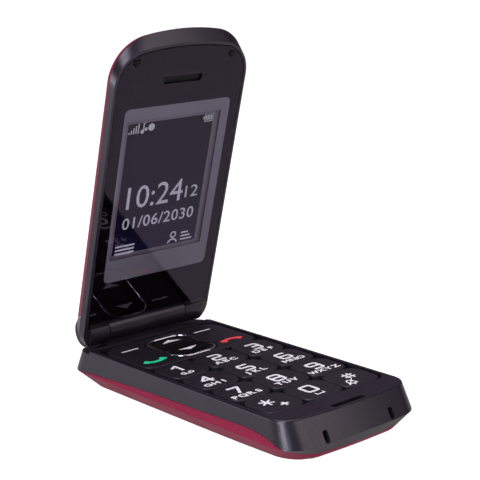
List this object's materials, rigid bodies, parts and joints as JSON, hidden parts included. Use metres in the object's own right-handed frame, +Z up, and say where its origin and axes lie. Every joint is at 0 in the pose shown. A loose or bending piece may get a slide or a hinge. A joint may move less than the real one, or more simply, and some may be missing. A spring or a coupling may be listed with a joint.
{
  "type": "flip phone",
  "caption": "Clamshell handset with large raised keys, a rocker pad in a bright ring, a glossy-windowed colour display lid on a sprung cam hinge and a clip-on boat-shaped battery cover.",
  "frame": {"origin": "centre of the flat rest area under the battery cover", "axes": "+Z up out of the key deck, +Y from the microphone end towards the lid hinge, +X to the right of someone reading the screen"},
  "size_m": [0.051, 0.1055, 0.1127],
  "materials": {
    "black_housing": "satin",
    "red_cover": "satin",
    "key_cap": "satin",
    "bright_ring": "polished",
    "inner_plastic": "matt",
    "silicone": "matt",
    "dome_foil": "satin",
    "board": "solder mask",
    "tinplate": "plain",
    "steel": "plain",
    "plated": "gold plated",
    "cell_wrap": "printed wrap",
    "capsule": "matt",
    "mesh": "woven",
    "flex": "polyimide",
    "lens": "polished clear plastic",
    "mask": "printed film",
    "display_metal": "satin",
    "display_glass": "polished",
    "bumper_rubber": "matt",
    "magnet": "plated"
  },
  "bodies": {
    "base": {"base_front_housing": "black_housing", "battery_cover": "red_cover", "base_rear_chassis": "inner_plastic", "keypad_frame": "steel", "keypad_mat": "silicone", "dome_sheet": "dome_foil", "main_board": "board", "shield_cans": "tinplate", "battery": "cell_wrap", "battery_contacts": "plated", "card_holder": "tinplate", "loudspeaker": "capsule", "loudspeaker_mesh": "mesh", "vibration_motor": "steel", "microphone": "capsule", "charging_contacts": "plated", "charging_socket": "tinplate", "base_screws": "steel", "antenna": "plated", "hinge_case": "steel", "hinge_spring": "steel", "hinge_follower": "steel", "hinge_bush": "inner_plastic", "base_flex": "flex"},
    "lid": {"lid_inner_frame": "black_housing", "lid_outer_shell": "red_cover", "display_lens": "lens", "display_mask": "mask", "display_bezel": "display_metal", "display_panel": "display_glass", "lid_board": "board", "lid_flex": "flex", "earpiece": "capsule", "earpiece_mesh": "mesh", "lid_magnet": "magnet", "lid_bumpers": "bumper_rubber", "lid_screws": "steel", "hinge_cam": "steel", "hinge_pin": "steel"},
    "key_1": {"key_1": "key_cap"},
    "key_2": {"key_2": "key_cap"},
    "key_3": {"key_3": "key_cap"},
    "key_4": {"key_4": "key_cap"},
    "key_5": {"key_5": "key_cap"},
    "key_6": {"key_6": "key_cap"},
    "key_7": {"key_7": "key_cap"},
    "key_8": {"key_8": "key_cap"},
    "key_9": {"key_9": "key_cap"},
    "key_star": {"key_star": "key_cap"},
    "key_0": {"key_0": "key_cap"},
    "key_hash": {"key_hash": "key_cap"},
    "left_command_key": {"left_command_key": "key_cap"},
    "right_command_key": {"right_command_key": "key_cap"},
    "navigation": {"navigation_pad": "key_cap", "navigation_ring": "bright_ring"},
    "volume_rocker": {"volume_rocker": "black_housing"},
    "assistance_button": {"assistance_button": "key_cap"}
  },
  "joints": [
    {"name": "lid_hinge", "type": "hinge", "parent": "base", "child": "lid", "pos_m": [0, 0.03, 0.0182], "axis": [-1, 0, 0], "range_deg": [-73.4, 86.6]},
    {"name": "key_1_press", "type": "slide", "parent": "base", "child": "key_1", "axis": [0, 0, -1], "range_m": [0, 0.00035], "stiffness_N_per_m": 400, "springref_m": -0.0005},
    {"name": "key_2_press", "type": "slide", "parent": "base", "child": "key_2", "axis": [0, 0, -1], "range_m": [0, 0.00035], "stiffness_N_per_m": 400, "springref_m": -0.0005},
    {"name": "key_3_press", "type": "slide", "parent": "base", "child": "key_3", "axis": [0, 0, -1], "range_m": [0, 0.00035], "stiffness_N_per_m": 400, "springref_m": -0.0005},
    {"name": "key_4_press", "type": "slide", "parent": "base", "child": "key_4", "axis": [0, 0, -1], "range_m": [0, 0.00035], "stiffness_N_per_m": 400, "springref_m": -0.0005},
    {"name": "key_5_press", "type": "slide", "parent": "base", "child": "key_5", "axis": [0, 0, -1], "range_m": [0, 0.00035], "stiffness_N_per_m": 400, "springref_m": -0.0005},
    {"name": "key_6_press", "type": "slide", "parent": "base", "child": "key_6", "axis": [0, 0, -1], "range_m": [0, 0.00035], "stiffness_N_per_m": 400, "springref_m": -0.0005},
    {"name": "key_7_press", "type": "slide", "parent": "base", "child": "key_7", "axis": [0, 0, -1], "range_m": [0, 0.00035], "stiffness_N_per_m": 400, "springref_m": -0.0005},
    {"name": "key_8_press", "type": "slide", "parent": "base", "child": "key_8", "axis": [0, 0, -1], "range_m": [0, 0.00035], "stiffness_N_per_m": 400, "springref_m": -0.0005},
    {"name": "key_9_press", "type": "slide", "parent": "base", "child": "key_9", "axis": [0, 0, -1], "range_m": [0, 0.00035], "stiffness_N_per_m": 400, "springref_m": -0.0005},
    {"name": "key_star_press", "type": "slide", "parent": "base", "child": "key_star", "axis": [0, 0, -1], "range_m": [0, 0.00035], "stiffness_N_per_m": 400, "springref_m": -0.0005},
    {"name": "key_0_press", "type": "slide", "parent": "base", "child": "key_0", "axis": [0, 0, -1], "range_m": [0, 0.00035], "stiffness_N_per_m": 400, "springref_m": -0.0005},
    {"name": "key_hash_press", "type": "slide", "parent": "base", "child": "key_hash", "axis": [0, 0, -1], "range_m": [0, 0.00035], "stiffness_N_per_m": 400, "springref_m": -0.0005},
    {"name": "left_command_rock", "type": "hinge", "parent": "base", "child": "left_command_key", "pos_m": [-0.0156, 0.0091, 0.0119], "axis": [1, 0, 0], "range_deg": [-1.2, 1.2], "stiffness_Nm_per_rad": 1.2},
    {"name": "right_command_rock", "type": "hinge", "parent": "base", "child": "right_command_key", "pos_m": [0.0156, 0.0091, 0.0119], "axis": [1, 0, 0], "range_deg": [-1.2, 1.2], "stiffness_Nm_per_rad": 1.2},
    {"name": "navigation_rock", "type": "hinge", "parent": "base", "child": "navigation", "pos_m": [0, 0.0091, 0.0119], "axis": [1, 0, 0], "range_deg": [-1.2, 1.2], "stiffness_Nm_per_rad": 1},
    {"name": "volume_rock", "type": "hinge", "parent": "base", "child": "volume_rocker", "pos_m": [0.0237, 0.013, 0.0103], "axis": [0, 0, 1], "range_deg": [-1.5, 1.5], "stiffness_Nm_per_rad": 0.6},
    {"name": "assistance_press", "type": "slide", "parent": "base", "child": "assistance_button", "axis": [0, 0, 1], "range_m": [0, 0.00035], "stiffness_N_per_m": 400, "springref_m": -0.0005}
  ]
}
